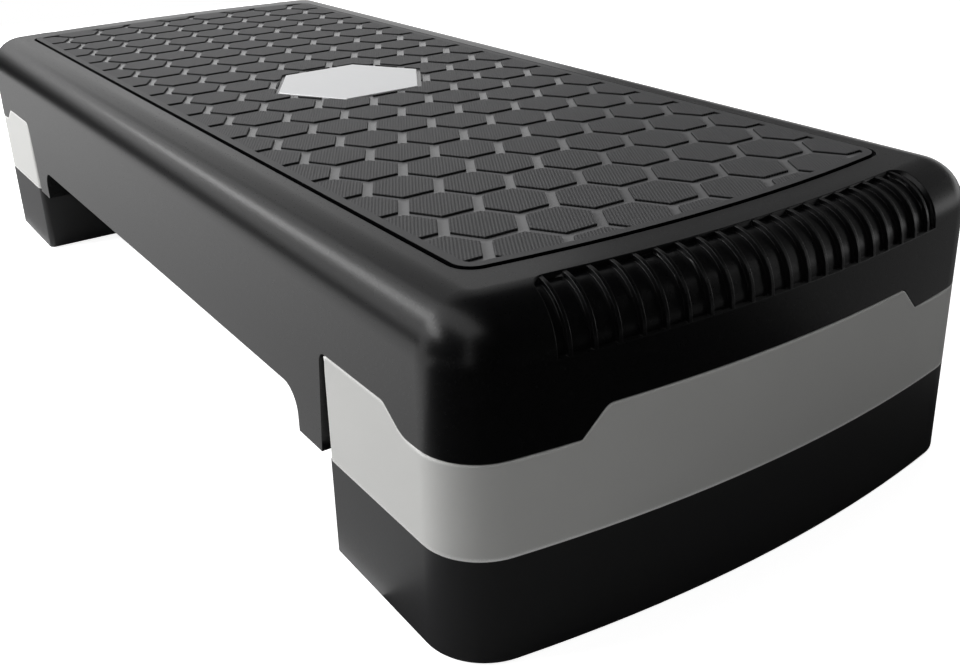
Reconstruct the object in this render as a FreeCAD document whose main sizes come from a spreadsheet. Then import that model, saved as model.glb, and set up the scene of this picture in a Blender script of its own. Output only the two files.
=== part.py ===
"""Aerobic step platform: a moulded deck on two fixed end feet, standing on two lift-off risers.

X runs along the platform, Y across it and Z up. The origin lies on the floor under the middle.
The right end is at +X, the left end at -X, the front side at -Y and the back side at +Y.
"""
import FreeCAD
import Part
import Sketcher
import math
import os
import re

# Sizes in millimetres. A name that ends in share or count is a plain number.
SIZES = {
    # The outline that every large piece follows, taken at the floor
    "base_length": 684.0,
    "base_width": 284.0,
    "end_bow": 14.4,
    "corner_round": 27.5,
    "flare_share": 0.02,
    # Heights
    "pad_proud": 1.0,
    "riser_height": 45.0,
    "band_height": 39.5,
    "tab_rise": 11.5,
    "plug_rise": 21.0,
    "deck_height": 95.0,
    # Where the end stacks start, and the rounding of their inner corners
    "stack_start": 229.5,
    "stack_round": 4.0,
    # Deck shell
    "deck_wall": 3.0,
    "shoulder_round": 22.0,
    "deck_rib_wall": 2.0,
    "deck_rib_depth": 56.0,
    "deck_rib_pitch": 50.0,
    "deck_rib_row_pitch": 46.5,
    "deck_rib_row_count": 5,
    "leg_start": 203.0,
    "leg_depth": 34.0,
    "leg_wall": 2.5,
    "leg_slot": 1.5,
    "leg_lean": 5.4,
    "arch_height": 20.0,
    "arch_round": 12.0,
    # Tabs of the end feet, which stand up into the deck's skirt
    "side_tab_rise": 8.7,
    "side_tab_length": 49.5,
    "side_tab_slope": 13.0,
    "side_tab_sweep": 14.0,
    "end_tab_width": 160.0,
    "end_tab_slope": 11.0,
    "tab_round": 5.0,
    "seam_gap": 0.4,
    # Ribbed finger grip in the shoulder of each end
    "grip_length": 194.0,
    "grip_inset": 24.0,
    "grip_depth": 2.5,
    "grip_lip": 22.0,
    "grip_round": 7.0,
    "grip_rib_count": 20,
    "grip_rib_pitch": 9.7,
    "grip_rib_wall": 1.6,
    "grip_rib_drop": 0.4,
    # Tread mat and its badge plate
    "mat_recess": 4.0,
    "mat_gap": 2.0,
    "mat_side_margin": 29.0,
    "mat_end_margin": 38.0,
    "mat_round": 9.0,
    "mat_base": 3.5,
    "mat_rim": 4.0,
    "hex_pitch": 30.3,
    "hex_groove": 4.5,
    "hex_height": 1.0,
    "badge_width": 80.0,
    "badge_thick": 0.9,
    "badge_bevel": 0.3,
    # End foot
    "foot_wall": 3.0,
    "foot_rib_wall": 2.0,
    "seat_gap": 0.4,
    "plug_bevel": 2.0,
    # Riser and the raised crown on it, which stands up inside the end foot and keeps it in place
    "riser_wall": 3.0,
    "riser_rib_wall": 2.0,
    "riser_rib_setback": 2.0,
    "crown_height": 12.0,
    "crown_gap": 2.0,
    # Ribs and rubber pads under the end feet and the risers
    "stack_rib_inner": 28.5,
    "stack_rib_outer": 76.5,
    "stack_rib_pitch": 52.0,
    "pad_radius": 10.0,
    "pad_seat": 2.0,
    "pad_bevel": 0.8,
    "pad_fit": 0.2,
    "cup_wall": 2.8,
    "cup_floor": 3.0,
    "cup_lap": 4.0,
    "dimple_room": 0.5,
    # Screws that hold the end feet up in the deck
    "screw_radius": 2.0,
    "screw_length": 13.0,
    "screw_head_radius": 4.0,
    "screw_head_height": 2.8,
    "screw_play": 0.3,
    "thread_fit": 0.05,
    "boss_wall": 2.6,
    # How far a cut runs past the surface that it opens
    "overrun": 5.0,
}

NEARNESS_SHARE = 1e-5
SCREW_COUNT = 4

doc = FreeCAD.newDocument("AerobicStep")
sheet = doc.addObject("Spreadsheet::Sheet", "Sizes")
for row, (alias, size) in enumerate(SIZES.items(), 1):
    sheet.set(f"A{row}", alias)
    sheet.set(f"B{row}", str(size))
    sheet.setAlias(f"B{row}", alias)
doc.recompute()

# Levels and places that several pieces share, as formulas of the sizes
RISER_TOP = "(pad_proud + riser_height)"
SKIRT_LOW = f"({RISER_TOP} + band_height)"
TAB_TOP = f"({SKIRT_LOW} + tab_rise)"
SIDE_TAB_TOP = f"({SKIRT_LOW} + side_tab_rise)"
PLUG_TOP = f"({TAB_TOP} + plug_rise)"
DECK_TOP = f"({RISER_TOP} + deck_height)"
MAT_FLOOR = f"({DECK_TOP} - mat_recess)"
DECK_CEILING = f"({MAT_FLOOR} - deck_wall)"
HEX_FLOOR = f"({MAT_FLOOR} + mat_base)"
FOOT_CEILING = f"({PLUG_TOP} - foot_wall)"
CROWN_TOP = f"({RISER_TOP} + crown_height)"
FOOT_RIB_LOW = f"({CROWN_TOP} + crown_gap)"
END_RADIUS = "((base_width * base_width / 4 + end_bow * end_bow) / (2 * end_bow))"
END_CENTRE = f"(base_length / 2 - {END_RADIUS})"
PLUG_INSET = "(deck_wall + seat_gap)"
CUP_RADIUS = "(pad_radius + cup_wall)"


def cells(words):
    """A formula with the sheet's name put before each size in it."""
    return re.sub(r"[a-z_]+", lambda m: f"Sizes.{m[0]}" if m[0] in SIZES else m[0], words)


def value(words):
    """What a formula of sizes comes to."""
    return float(sheet.evalExpression(cells(words)))


def bind(thing, field, words):
    """Ties a field of an object to a formula of sizes."""
    thing.setExpression(field, cells(words))


def flare(level):
    """How far the flared sides have drawn in at a level above the riser's lower edge."""
    return f"(flare_share * ({level} - pad_proud))"


def origin_of(body, role):
    return next(item for item in body.Origin.OriginFeatures if item.Role == role)


def new_body(name):
    body = doc.addObject("PartDesign::Body", name)
    body.AllowCompound = True
    return body


def new_sketch(body, name, role="XY_Plane", level="0"):
    """A sketch on one of the body's own planes, raised along that plane's normal."""
    sketch = body.newObject("Sketcher::SketchObject", name)
    sketch.AttachmentSupport = [(origin_of(body, role), "")]
    sketch.MapMode = "FlatFace"
    bind(sketch, "AttachmentOffset.Base.z", level)
    return sketch


def measure(sketch, words, kind, *where):
    """Adds a dimension to a sketch and ties it to a formula."""
    index = sketch.addConstraint(Sketcher.Constraint(kind, *where, value(words)))
    bind(sketch, f"Constraints[{index}]", words)


def place(sketch, geometry, point, words, kind):
    """Ties one coordinate of a point to a formula, measured from the sketch's origin."""
    if value(words) < 0:
        measure(sketch, f"-({words})", kind, geometry, point, -1, 1)
    else:
        measure(sketch, words, kind, -1, 1, geometry, point)


def polygon(sketch, corners):
    """A closed outline of straight lines, each corner given as two formulas."""
    points = [FreeCAD.Vector(value(across), value(along), 0) for across, along in corners]
    lines = []
    for start, end in zip(points, points[1:] + points[:1]):
        lines.append(sketch.addGeometry(Part.LineSegment(start, end)))
    for line, following in zip(lines, lines[1:] + lines[:1]):
        sketch.addConstraint(Sketcher.Constraint("Coincident", line, 2, following, 1))
    for line, (across, along) in zip(lines, corners):
        place(sketch, line, 1, across, "DistanceX")
        place(sketch, line, 1, along, "DistanceY")


def bowed_end(sketch, side, half_width, radius, corner):
    """The bowed end of the outline with its two round corners, on the right (1) or the left (-1)."""
    wide, bow, small = value(half_width), value(radius), value(corner)
    centre = value(END_CENTRE)
    corner_x = centre + math.sqrt((bow - small) ** 2 - (wide - small) ** 2)
    sweep = math.atan2(wide - small, corner_x - centre)
    turn = 0 if side > 0 else math.pi
    up = FreeCAD.Vector(0, 0, 1)
    arcs = []
    for x, y, r, start, end in (
        (corner_x, small - wide, small, -math.pi / 2, -sweep),
        (centre, 0, bow, -sweep, sweep),
        (corner_x, wide - small, small, sweep, math.pi / 2),
    ):
        circle = Part.Circle(FreeCAD.Vector(side * x, side * y, 0), up, r)
        arcs.append(sketch.addGeometry(Part.ArcOfCircle(circle, start + turn, end + turn)))
    first, end, last = arcs
    sketch.addConstraint(Sketcher.Constraint("Tangent", first, 2, end, 1))
    sketch.addConstraint(Sketcher.Constraint("Tangent", end, 2, last, 1))
    sketch.addConstraint(Sketcher.Constraint("PointOnObject", end, 3, -1))
    place(sketch, end, 3, END_CENTRE if side > 0 else f"-{END_CENTRE}", "DistanceX")
    measure(sketch, radius, "Radius", end)
    measure(sketch, corner, "Radius", first)
    measure(sketch, corner, "Radius", last)
    return first, last


def side_line(sketch, half_width, start, end, side):
    """A straight side of the outline, level with the X axis."""
    line = sketch.addGeometry(Part.LineSegment(start, end))
    sketch.addConstraint(Sketcher.Constraint("Horizontal", line))
    place(sketch, line, 1, half_width if side > 0 else f"-({half_width})", "DistanceY")
    return line


def whole_outline(sketch, level, side_inset, end_inset, corner):
    """The platform's outline with both bowed ends, drawn in from the flared sides at a level."""
    half_width = f"(base_width / 2 - {flare(level)} - {side_inset})"
    radius = f"({END_RADIUS} - {flare(level)} - {end_inset})"
    right_first, right_last = bowed_end(sketch, 1, half_width, radius, corner)
    left_first, left_last = bowed_end(sketch, -1, half_width, radius, corner)
    for last, first, side in ((right_last, left_first, 1), (left_last, right_first, -1)):
        line = side_line(sketch, half_width, sketch.getPoint(last, 2), sketch.getPoint(first, 1), side)
        sketch.addConstraint(Sketcher.Constraint("Tangent", last, 2, line, 1))
        sketch.addConstraint(Sketcher.Constraint("Tangent", line, 2, first, 1))


def stack_outline(sketch, level, inset):
    """The outline of the right end stack: the bowed end, closed by a straight inner end."""
    half_width = f"(base_width / 2 - {flare(level)} - {inset})"
    radius = f"({END_RADIUS} - {flare(level)} - {inset})"
    corner = f"(corner_round - {flare(level)} - {inset})"
    inner = f"(stack_start + {flare(level)} + {inset})"
    first, last = bowed_end(sketch, 1, half_width, radius, corner)
    wide, start, small = value(half_width), value(inner), value("stack_round")
    back_side = FreeCAD.Vector(start + small, wide, 0)
    front_side = FreeCAD.Vector(start + small, -wide, 0)
    top = side_line(sketch, half_width, sketch.getPoint(last, 2), back_side, 1)
    low = side_line(sketch, half_width, front_side, sketch.getPoint(first, 1), -1)
    back_end, front_end = FreeCAD.Vector(start, wide - small, 0), FreeCAD.Vector(start, small - wide, 0)
    closing = sketch.addGeometry(Part.LineSegment(back_end, front_end))
    rounds = []
    for y, turn in ((wide - small, math.pi / 2), (small - wide, math.pi)):
        circle = Part.Circle(FreeCAD.Vector(start + small, y, 0), FreeCAD.Vector(0, 0, 1), small)
        rounds.append(sketch.addGeometry(Part.ArcOfCircle(circle, turn, turn + math.pi / 2)))
        measure(sketch, "stack_round", "Radius", rounds[-1])
    back_round, front_round = rounds
    for one, one_point, other, other_point in (
        (last, 2, top, 1),
        (top, 2, back_round, 1),
        (back_round, 2, closing, 1),
        (closing, 2, front_round, 1),
        (front_round, 2, low, 1),
        (low, 2, first, 1),
    ):
        sketch.addConstraint(Sketcher.Constraint("Tangent", one, one_point, other, other_point))
    sketch.addConstraint(Sketcher.Constraint("Vertical", closing))
    place(sketch, closing, 1, inner, "DistanceX")


def pad(body, sketch, length, flared=False, both_ways=False):
    """Thickens a sketch, drawn in as it rises where it is flared."""
    feature = body.newObject("PartDesign::Pad", f"{sketch.Name}_pad")
    feature.Profile = sketch
    bind(feature, "Length", length)
    if flared:
        bind(feature, "TaperAngle", "-atan(flare_share)")
    if both_ways:
        feature.SideType = "Symmetric"
    doc.recompute()
    return feature


def edges_where(shape, test):
    """The names of the edges whose boxes pass a test."""
    return [f"Edge{number}" for number, edge in enumerate(shape.Edges, 1) if test(edge.BoundBox)]


def dress(body, kind, field, words, test):
    """Rounds or bevels the edges of the body's last feature that pass a test."""
    base = body.Tip
    feature = body.newObject(f"PartDesign::{kind}", f"{body.Name}_{kind.lower()}")
    feature.Base = (base, edges_where(base.Shape, test))
    bind(feature, field, words)
    doc.recompute()
    return feature


def near(place_found, words):
    """Whether a place lies at a formula's value, within a trace of the platform's length."""
    return abs(place_found - value(words)) < NEARNESS_SHARE * value("base_length")


def plan_block(name, low, high, side_inset="0", end_inset="0", corner=None, flared=True, top_round=None):
    """A block of the platform's whole outline, drawn in from the deck's sides and ends."""
    body = new_body(name)
    sketch = new_sketch(body, f"{name}_outline", level=low)
    corner = corner or f"(corner_round - {flare(low)} - {side_inset})"
    whole_outline(sketch, low, side_inset, end_inset, corner)
    pad(body, sketch, f"{high} - {low}", flared=flared)
    if top_round:
        dress(body, "Fillet", "Radius", top_round, lambda box: near(box.ZMin, high))
    return body


def stack_block(name, low, high, inset="0"):
    """A block of an end stack's flared outline."""
    body = new_body(name)
    sketch = new_sketch(body, f"{name}_outline", level=low)
    stack_outline(sketch, low, inset)
    pad(body, sketch, f"{high} - {low}", flared=True)
    return body


def box(name, low, high):
    """A box between two corners, each given as three formulas."""
    item = doc.addObject("Part::Box", name)
    for side, start, end in zip(("Length", "Width", "Height"), low, high):
        bind(item, side, f"{end} - ({start})")
    for axis, start in zip("xyz", low):
        bind(item, f"Placement.Base.{axis}", start)
    return item


def rod(name, x, y, low, high, radius):
    """An upright round bar between two levels."""
    item = doc.addObject("Part::Cylinder", name)
    bind(item, "Radius", radius)
    bind(item, "Height", f"{high} - {low}")
    for axis, start in zip("xyz", (x, y, low)):
        bind(item, f"Placement.Base.{axis}", start)
    return item


def join(name, pieces):
    item = doc.addObject("Part::MultiFuse", name)
    item.Shapes = pieces
    item.Refine = True
    return item


def overlap(name, pieces):
    item = doc.addObject("Part::MultiCommon", name)
    item.Shapes = pieces
    return item


def cut(name, base, tools):
    """Takes tools away from a base."""
    item = doc.addObject("Part::Cut", name)
    item.Base = base
    item.Tool = tools[0] if len(tools) == 1 else join(f"{name}_tools", tools)
    item.Refine = True
    return item


def at_left(source):
    """The same piece at the left end of the platform."""
    item = doc.addObject("Part::Mirroring", f"{source.Name}_left")
    item.Source = source
    item.Normal = FreeCAD.Vector(1, 0, 0)
    return item


def pattern(body, feature, axis, pitch, count, axis_too=None, pitch_too="0", count_too=1):
    """Repeats a feature along one of the body's axes, or over a grid of two."""
    row = body.newObject("PartDesign::LinearPattern", f"{feature.Name}_row")
    row.Originals = [feature]
    row.Direction = (origin_of(body, axis), [""])
    row.Occurrences = count
    bind(row, "Length", f"({pitch}) * {count - 1}")
    if axis_too:
        row.Direction2 = (origin_of(body, axis_too), [""])
        row.Occurrences2 = count_too
        bind(row, "Length2", f"({pitch_too}) * {count_too - 1}")
    body.Tip = row
    doc.recompute()
    return row


def rib_grid(name, low, high, x_start, x_pitch, x_count, y_pitch, y_count, x_ends, wall):
    """Crossed upright ribs: a row of ribs across the platform and a row along it."""
    body = new_body(name)
    across = new_sketch(body, f"{name}_across", level=low)
    x_low, x_high = f"({x_start} - {wall} / 2)", f"({x_start} + {wall} / 2)"
    y_end = "(base_width / 2)"
    polygon(across, [(x_low, f"-{y_end}"), (x_high, f"-{y_end}"), (x_high, y_end), (x_low, y_end)])
    pattern(body, pad(body, across, f"{high} - {low}"), "X_Axis", x_pitch, x_count)
    along = new_sketch(body, f"{name}_along", level=low)
    y_start = f"{y_pitch} * {(y_count - 1) / 2}"
    y_low, y_high = f"-({y_start} + {wall} / 2)", f"-({y_start} - {wall} / 2)"
    x_first, x_last = x_ends
    polygon(along, [(x_first, y_low), (x_last, y_low), (x_last, y_high), (x_first, y_high)])
    pattern(body, pad(body, along, f"{high} - {low}"), "Y_Axis", y_pitch, y_count)
    return body


def hexagon(sketch, x, y, flat):
    """A six-sided outline with two points towards the front and back, sized by its half width."""
    point = f"({flat} * 2 / sqrt(3))"
    polygon(sketch, [
        (x, f"({y} - {point})"),
        (f"({x} + {flat})", f"({y} - {point} / 2)"),
        (f"({x} + {flat})", f"({y} + {point} / 2)"),
        (x, f"({y} + {point})"),
        (f"({x} - {flat})", f"({y} + {point} / 2)"),
        (f"({x} - {flat})", f"({y} - {point} / 2)"),
    ])


# Places that repeat in the end stacks

def pad_places():
    """The four pad places under a right end stack, named by side and row."""
    reach = f"(stack_rib_pitch * {SCREW_COUNT / 2})"
    for row in ("inner", "outer"):
        for side, y in (("front", f"(-{reach})"), ("back", reach)):
            yield f"{side}_{row}", f"(stack_start + stack_rib_{row})", y


def screw_places():
    """The places of the right foot's screws, midway between its ribs."""
    x = "(stack_start + (stack_rib_inner + stack_rib_outer) / 2)"
    for number in range(SCREW_COUNT):
        yield number, x, f"(stack_rib_pitch * {number - (SCREW_COUNT - 1) / 2})"


def stack_ribs(name, low, high, wall):
    """The ribs inside an end stack, whose outer crossings carry the rubber pads."""
    return rib_grid(
        name, low, high,
        x_start="(stack_start + stack_rib_inner)",
        x_pitch="(stack_rib_outer - stack_rib_inner)",
        x_count=2,
        y_pitch="stack_rib_pitch",
        y_count=SCREW_COUNT + 1,
        x_ends=("(stack_start - overrun)", "(base_length / 2)"),
        wall=wall,
    )


def pad_cups(name, low, high):
    """The cups that hold the rubber pads: their outsides, and what is hollowed out of them."""
    outsides, hollows = [], []
    for spot, x, y in pad_places():
        outsides.append(rod(f"{name}_{spot}", x, y, low, high, CUP_RADIUS))
        seat = f"({low} + pad_seat)"
        hollows.append(rod(f"{name}_{spot}_seat", x, y, f"({low} - overrun)", seat, "(pad_radius + pad_fit)"))
        floor = f"({seat} + cup_floor)"
        hollows.append(rod(f"{name}_{spot}_hollow", x, y, floor, f"({high} + seat_gap)", "pad_radius"))
    return outsides, hollows


# Deck shell

def band_space(name, lift, start_low, start_high, start_round=()):
    """The room of the right foot's outer band: everything under its tabbed and rounded upper edge."""
    body = new_body(name)
    side = new_sketch(body, f"{name}_side", "XZ_Plane")
    beyond = "(base_length / 2 + overrun)"
    slope = f"(stack_start + {flare(SIDE_TAB_TOP)} + side_tab_length)"
    slope_end = f"({slope} + side_tab_slope)"
    floor, skirt = f"({RISER_TOP} - overrun)", f"({SKIRT_LOW} + {lift})"
    tab, side_tab = f"({TAB_TOP} + {lift})", f"({SIDE_TAB_TOP} + {lift})"
    polygon(side, [
        (start_low, floor),
        (beyond, floor),
        (beyond, skirt),
        (slope_end, skirt),
        (slope, side_tab),
        (start_high, side_tab),
    ])
    pad(body, side, "base_width + 2 * overrun", both_ways=True)
    rounds = [("side_tab_sweep", slope_end, skirt), ("tab_round", slope, side_tab)]
    rounds += [(radius, start_high, side_tab) for radius in start_round]
    for radius, x, level in rounds:
        dress(
            body, "Fillet", "Radius", radius,
            lambda box: box.YLength > value("base_width") and near(box.ZMin, level) and near(box.XMin, x))
    end = new_sketch(body, f"{name}_end", "YZ_Plane", "base_length / 2 - corner_round")
    narrow, wide = "(end_tab_width / 2)", "(end_tab_width / 2 + end_tab_slope)"
    polygon(end, [
        (f"-{wide}", floor),
        (wide, floor),
        (wide, skirt),
        (narrow, tab),
        (f"-{narrow}", tab),
        (f"-{wide}", skirt),
    ])
    pad(body, end, "corner_round + overrun")
    dress(
        body, "Fillet", "Radius", "tab_round",
        lambda box: near(box.ZMin, tab) and near(abs(box.YMin), narrow) and near(abs(box.YMax), narrow))
    return body


def leg_edge():
    """The slanted outer edge of a right leg, as its x at the side tab's top and at the leg's foot."""
    high = f"(stack_start + {flare(SIDE_TAB_TOP)} - leg_slot)"
    return high, f"({high} - leg_lean)"


def make_legs():
    """Two hollow right legs, each of three walls inside the deck's skirt."""
    body = new_body("deck_legs")
    high, low = leg_edge()
    ceiling = f"({DECK_CEILING} + deck_wall / 2)"
    inner = "(base_width / 2 - leg_depth)"
    walls = new_sketch(body, "deck_leg_walls", "XZ_Plane", inner)
    polygon(walls, [
        ("leg_start", RISER_TOP),
        ("(leg_start + leg_wall)", RISER_TOP),
        ("(leg_start + leg_wall)", ceiling),
        ("leg_start", ceiling),
    ])
    polygon(walls, [
        (f"({low} - leg_wall)", RISER_TOP),
        (low, RISER_TOP),
        (high, SIDE_TAB_TOP),
        (high, ceiling),
        (f"({high} - leg_wall)", ceiling),
        (f"({high} - leg_wall)", SIDE_TAB_TOP),
    ])
    wall_pad = pad(body, walls, "leg_depth")
    back = new_sketch(body, "deck_leg_back", "XZ_Plane", inner)
    polygon(back, [
        ("leg_start", RISER_TOP),
        (low, RISER_TOP),
        (high, SIDE_TAB_TOP),
        (high, ceiling),
        ("leg_start", ceiling),
    ])
    back_pad = pad(body, back, "leg_wall")
    mirror = body.newObject("PartDesign::Mirrored", "deck_legs_both")
    mirror.Originals = [wall_pad, back_pad]
    mirror.MirrorPlane = (origin_of(body, "XZ_Plane"), [""])
    body.Tip = mirror
    doc.recompute()
    return body


def make_slot():
    """The slot between a right leg and the end foot, round at its upper end."""
    body = new_body("leg_slot_room")
    sketch = new_sketch(body, "leg_slot_side", "XZ_Plane")
    high, low = leg_edge()
    floor, top = f"({RISER_TOP} - overrun)", f"({SIDE_TAB_TOP} + seam_gap)"
    far = f"({high} + leg_slot + tab_round)"
    polygon(sketch, [(low, floor), (far, floor), (far, top), (high, top), (low, RISER_TOP)])
    pad(body, sketch, "base_width + 2 * overrun", both_ways=True)
    dress(body, "Fillet", "Radius", "tab_round", lambda box: near(box.ZMin, top) and near(box.XMax, high))
    return body


def make_arch():
    """The opening between the legs, which raises the skirt along both long sides."""
    body = new_body("arch")
    sketch = new_sketch(body, "arch_side", "XZ_Plane")
    floor, top = f"({RISER_TOP} - overrun)", f"({RISER_TOP} + arch_height)"
    polygon(sketch, [("-leg_start", floor), ("leg_start", floor), ("leg_start", top), ("-leg_start", top)])
    pad(body, sketch, "base_width + 2 * overrun", both_ways=True)
    dress(
        body, "Fillet", "Radius", "arch_round",
        lambda box: near(box.ZMin, top) and near(box.XMin, f"{math.copysign(1, box.XMin)} * leg_start")
        and box.YLength > value("base_width"))
    return body


def make_grip():
    """The right finger grip: a recess that follows the shoulder, less the ribs that stay standing in it."""
    lip = f"({DECK_TOP} - grip_lip)"
    inner, outer = f"({END_RADIUS} - grip_inset)", f"({END_RADIUS} + overrun)"
    body = new_body("grip_room")
    sketch = new_sketch(body, "grip_plan", level=lip)
    bind(sketch, "AttachmentOffset.Base.x", END_CENTRE)
    half = math.asin(value("grip_length / 2") / value(inner))
    arcs = []
    for radius in (inner, outer):
        circle = Part.Circle(FreeCAD.Vector(), FreeCAD.Vector(0, 0, 1), value(radius))
        arc = sketch.addGeometry(Part.ArcOfCircle(circle, -half, half))
        sketch.addConstraint(Sketcher.Constraint("Coincident", arc, 3, -1, 1))
        measure(sketch, radius, "Radius", arc)
        arcs.append(arc)
    near_arc, far_arc = arcs
    for point, sign in ((1, "-"), (2, "")):
        start, end = sketch.getPoint(near_arc, point), sketch.getPoint(far_arc, point)
        line = sketch.addGeometry(Part.LineSegment(start, end))
        sketch.addConstraint(Sketcher.Constraint("Coincident", line, 1, near_arc, point))
        sketch.addConstraint(Sketcher.Constraint("Coincident", line, 2, far_arc, point))
        sketch.addConstraint(Sketcher.Constraint("PointOnObject", -1, 1, line))
        place(sketch, near_arc, point, f"{sign}(grip_length / 2)", "DistanceY")
    pad(body, sketch, "grip_lip + overrun")
    dress(
        body, "Fillet", "Radius", "grip_round",
        lambda box: box.ZLength > value("grip_lip") and box.XMax < value("base_length / 2 - grip_inset"))

    floor = plan_block(
        "grip_floor", RISER_TOP, f"({DECK_TOP} - grip_depth)", "grip_depth", "grip_depth",
        top_round="(shoulder_round - grip_depth)")
    crest = plan_block(
        "grip_crest", RISER_TOP, f"({DECK_TOP} - grip_rib_drop)", "grip_rib_drop", "grip_rib_drop",
        top_round="(shoulder_round - grip_rib_drop)")

    ribs = new_body("grip_ribs")
    rib = new_sketch(ribs, "grip_rib", level=f"({lip} - overrun)")
    bind(rib, "AttachmentOffset.Base.x", END_CENTRE)
    step = f"(grip_rib_pitch / {inner} * 180 / pi * 1 deg)"
    level_turn = FreeCAD.Rotation(FreeCAD.Vector(0, 0, 1), 0)
    rib.AttachmentOffset = FreeCAD.Placement(rib.AttachmentOffset.Base, level_turn)
    bind(rib, "AttachmentOffset.Rotation.Angle", f"-{step} * (grip_rib_count - 1) / 2")
    half_wall = "(grip_rib_wall / 2)"
    start = f"({inner} - overrun)"
    polygon(rib, [(start, f"-{half_wall}"), (outer, f"-{half_wall}"), (outer, half_wall), (start, half_wall)])
    rib_pad = pad(ribs, rib, "grip_lip + 2 * overrun")
    fan = ribs.newObject("PartDesign::PolarPattern", "grip_rib_fan")
    fan.Originals = [rib_pad]
    fan.Axis = (rib, ["N_Axis"])
    fan.Occurrences = int(value("grip_rib_count"))
    bind(fan, "Angle", f"{step} * (grip_rib_count - 1)")
    ribs.Tip = fan
    doc.recompute()
    return cut("grip", body, [floor, overlap("grip_ribs_inside", [ribs, crest])])


def make_deck():
    """The deck: a thin moulded shell, ribbed below, with legs, a tabbed skirt and finger grips."""
    outer = plan_block("deck_outer", RISER_TOP, DECK_TOP, top_round="shoulder_round")
    skirt_room = plan_block(
        "deck_skirt_room", f"({RISER_TOP} - overrun)", f"({PLUG_TOP} + seat_gap)", "deck_wall", "deck_wall")
    ceiling_round = "(shoulder_round - mat_recess - deck_wall)"
    ceiling_room = plan_block(
        "deck_ceiling_room", TAB_TOP, DECK_CEILING, "deck_wall", f"(shoulder_round - {ceiling_round})",
        top_round=ceiling_round)
    shell = cut("deck_hollow", outer, [skirt_room, ceiling_room])

    rib_root = f"({DECK_CEILING} + deck_wall / 2)"
    rib_count = 2 * math.floor(value("base_length / 2 - grip_inset") / value("deck_rib_pitch")) + 1
    grid = rib_grid(
        "deck_grid", f"({DECK_CEILING} - deck_rib_depth)", rib_root,
        x_start=f"(-deck_rib_pitch * {(rib_count - 1) / 2})",
        x_pitch="deck_rib_pitch",
        x_count=rib_count,
        y_pitch="deck_rib_row_pitch",
        y_count=int(value("deck_rib_row_count")),
        x_ends=("(-base_length / 2)", "(base_length / 2)"),
        wall="deck_rib_wall",
    )
    foot_room = box(
        "foot_room",
        ("(stack_start - leg_slot)", "(-base_width / 2)", f"({RISER_TOP} - overrun)"),
        ("(base_length / 2 + overrun)", "(base_width / 2)", PLUG_TOP),
    )
    ribs = cut("deck_ribs", overlap("deck_grid_inside", [grid, outer]), [foot_room, at_left(foot_room)])
    legs = overlap("deck_legs_inside", [make_legs(), outer])
    bosses = [
        rod(f"boss{number}", x, y, PLUG_TOP, rib_root, "(screw_radius + boss_wall)")
        for number, x, y in screw_places()
    ]
    one_end = [legs] + bosses
    moulding = join("deck_moulding", [shell, ribs] + one_end + [at_left(piece) for piece in one_end])

    notch_start = f"({leg_edge()[0]} + tab_round)"
    end_cuts = [band_space("deck_notch", "seam_gap", notch_start, notch_start), make_slot(), make_grip()]
    hole_end = f"({FOOT_CEILING} + screw_length + screw_play)"
    end_cuts += [
        rod(f"boss_hole{number}", x, y, f"({PLUG_TOP} - overrun)", hole_end, "(screw_radius + thread_fit)")
        for number, x, y in screw_places()
    ]
    mat_pocket = plan_block(
        "mat_pocket", MAT_FLOOR, f"({DECK_TOP} + overrun)",
        "(mat_side_margin - mat_gap)", "(mat_end_margin - mat_gap)",
        corner="(mat_round + mat_gap)", flared=False)
    end_cuts += [at_left(tool) for tool in end_cuts]
    return cut("deck", moulding, [make_arch(), mat_pocket] + end_cuts)


# Tread mat and badge plate

def make_mat():
    """The tread mat: a plate with a raised rim and raised six-sided pads, cut short round the badge."""
    plate = plan_block(
        "mat_plate", MAT_FLOOR, f"({HEX_FLOOR} + hex_height)", "mat_side_margin", "mat_end_margin",
        corner="mat_round", flared=False)
    field = plan_block(
        "mat_field", HEX_FLOOR, f"({HEX_FLOOR} + hex_height + overrun)",
        "(mat_side_margin + mat_rim)", "(mat_end_margin + mat_rim)",
        corner="(mat_round - mat_rim)", flared=False)
    tray = cut("mat_tray", plate, [field])
    clearing = new_body("badge_clearing")
    sketch = new_sketch(clearing, "badge_clearing_outline", level=f"({HEX_FLOOR} - mat_base)")
    hexagon(sketch, "0", "0", "(badge_width / 2 + hex_groove / 2)")
    pad(clearing, sketch, "hex_height + mat_base + 2 * overrun")
    pad_room = plan_block(
        "mat_pad_room", f"({HEX_FLOOR} - mat_base / 2)", f"({HEX_FLOOR} + hex_height + overrun)",
        "(mat_side_margin + mat_rim / 2)", "(mat_end_margin + mat_rim / 2)",
        corner="(mat_round - mat_rim / 2)", flared=False)
    open_field = cut("mat_open_field", pad_room, [clearing])
    flat = "((hex_pitch - hex_groove) / 2)"
    row_pitch = "(hex_pitch * sqrt(3) / 2)"
    columns = value(f"(base_length / 2 - mat_end_margin + {flat}) / hex_pitch")
    rows = value(f"(base_width / 2 - mat_side_margin + {flat}) / ({row_pitch} * 2)")
    pads = []
    for name, shift in (("even", 0.0), ("odd", 0.5)):
        columns_out = math.floor(columns - shift) + shift
        rows_out = math.floor(rows - shift) + shift
        lattice = new_body(f"hex_{name}")
        sketch = new_sketch(lattice, f"hex_{name}_outline", level=f"({HEX_FLOOR} - mat_base / 2)")
        hexagon(sketch, f"(-hex_pitch * {columns_out})", f"(-{row_pitch} * 2 * {rows_out})", flat)
        pattern(
            lattice, pad(lattice, sketch, "hex_height + mat_base / 2"),
            "X_Axis", "hex_pitch", int(2 * columns_out) + 1,
            "Y_Axis", f"{row_pitch} * 2", int(2 * rows_out) + 1)
        pads.append(overlap(f"hex_{name}_inside", [lattice, open_field]))
    return join("tread_mat", [tray] + pads)


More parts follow.
